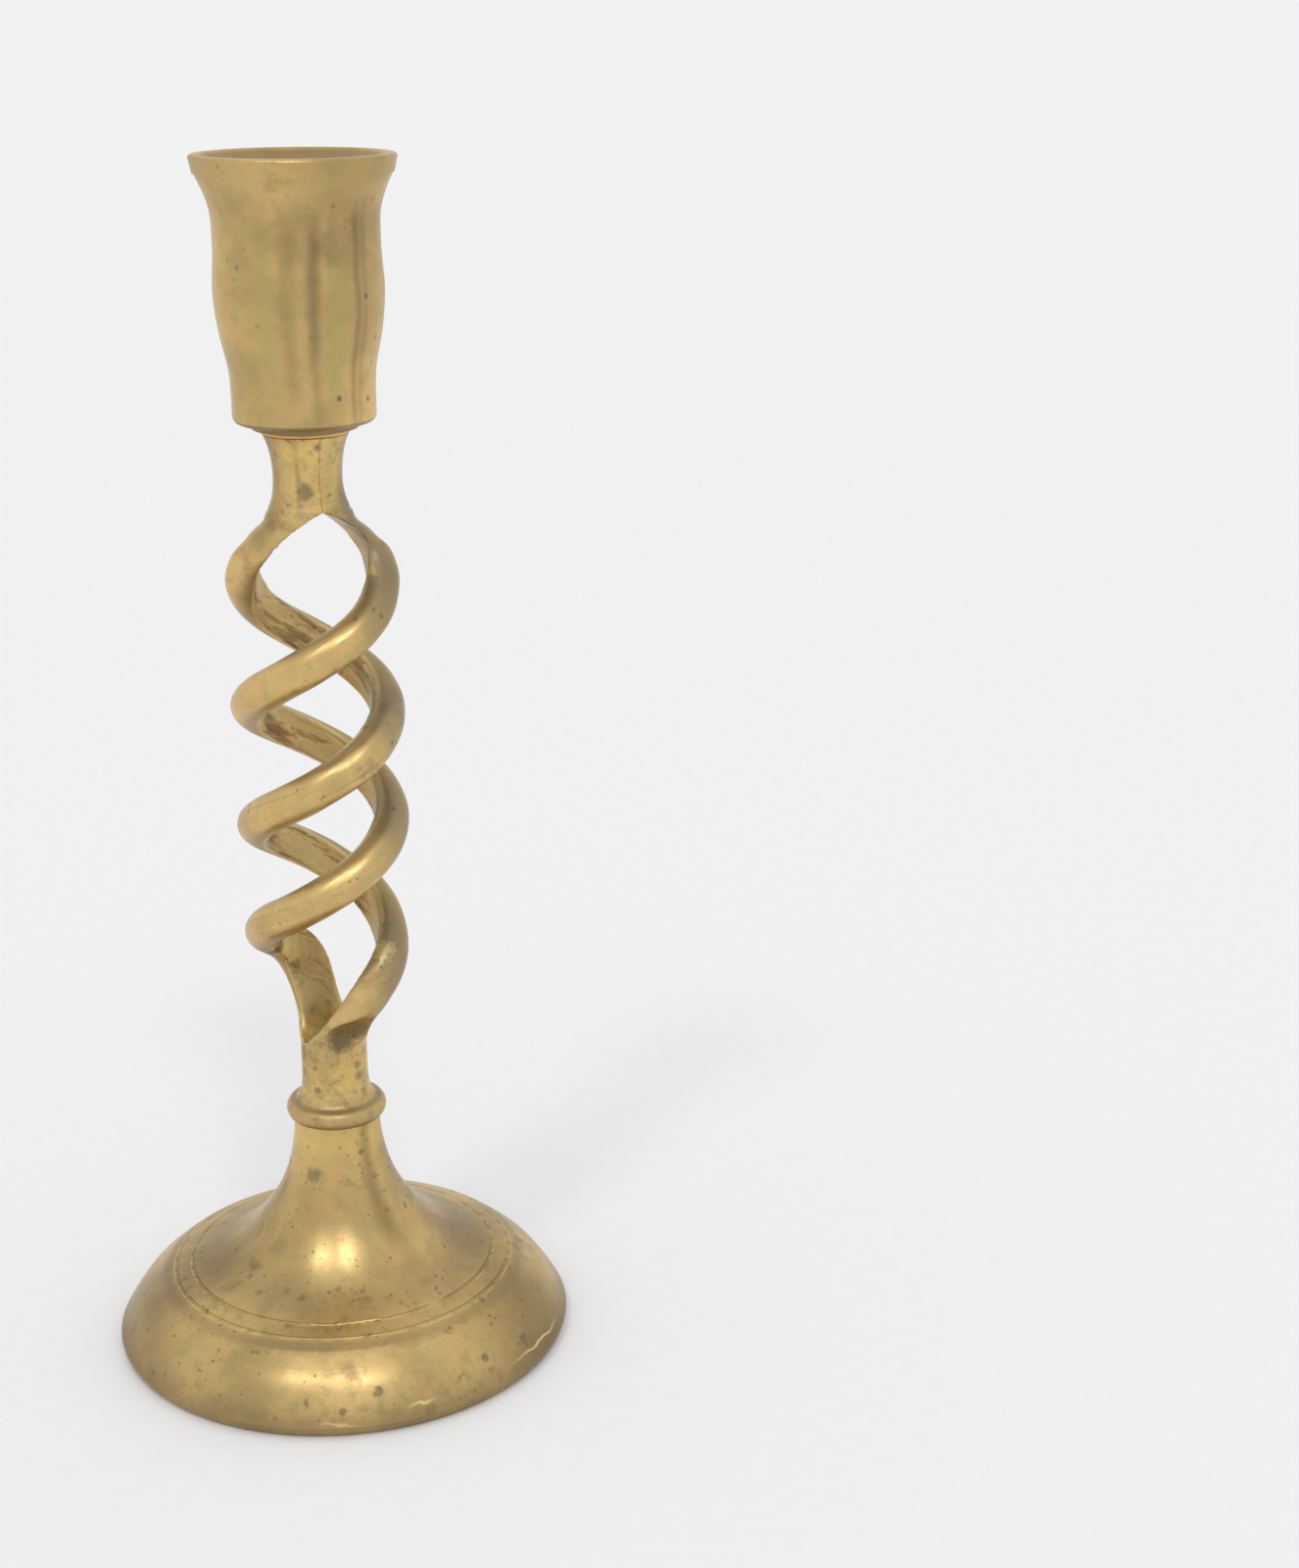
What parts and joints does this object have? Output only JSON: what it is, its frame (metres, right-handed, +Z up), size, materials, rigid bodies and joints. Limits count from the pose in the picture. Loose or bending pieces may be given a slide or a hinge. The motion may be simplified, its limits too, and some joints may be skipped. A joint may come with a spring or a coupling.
{
  "type": "spiral candle holder",
  "caption": "Brass candle holder: a flared cup for a household candle on an open stem of twisted strands over a round hollow base.",
  "frame": {"origin": "on the surface it stands on, under the middle of the base", "axes": "+Z up along the axis of the stem and the cup; -Y is the front, the side that the picture shows, and +X is to its right"},
  "size_m": [0.078, 0.078, 0.2004],
  "materials": {
    "base_brass": "aged satin brass, with spots and fine scratches",
    "stem_brass": "aged satin brass, rough and greenish on the inner faces",
    "cup_brass": "aged satin brass, turned",
    "ring_brass": "tarnished brass",
    "screw_brass": "dull brass",
    "bolt_steel": "dull zinc"
  },
  "bodies": {
    "root": {"base": "base_brass", "base_bolt": "bolt_steel", "base_washer": "bolt_steel", "stem_half_a": "stem_brass", "stem_half_b": "stem_brass", "neck_ring": "ring_brass", "cup": "cup_brass", "cup_screw": "screw_brass"}
  },
  "joints": []
}
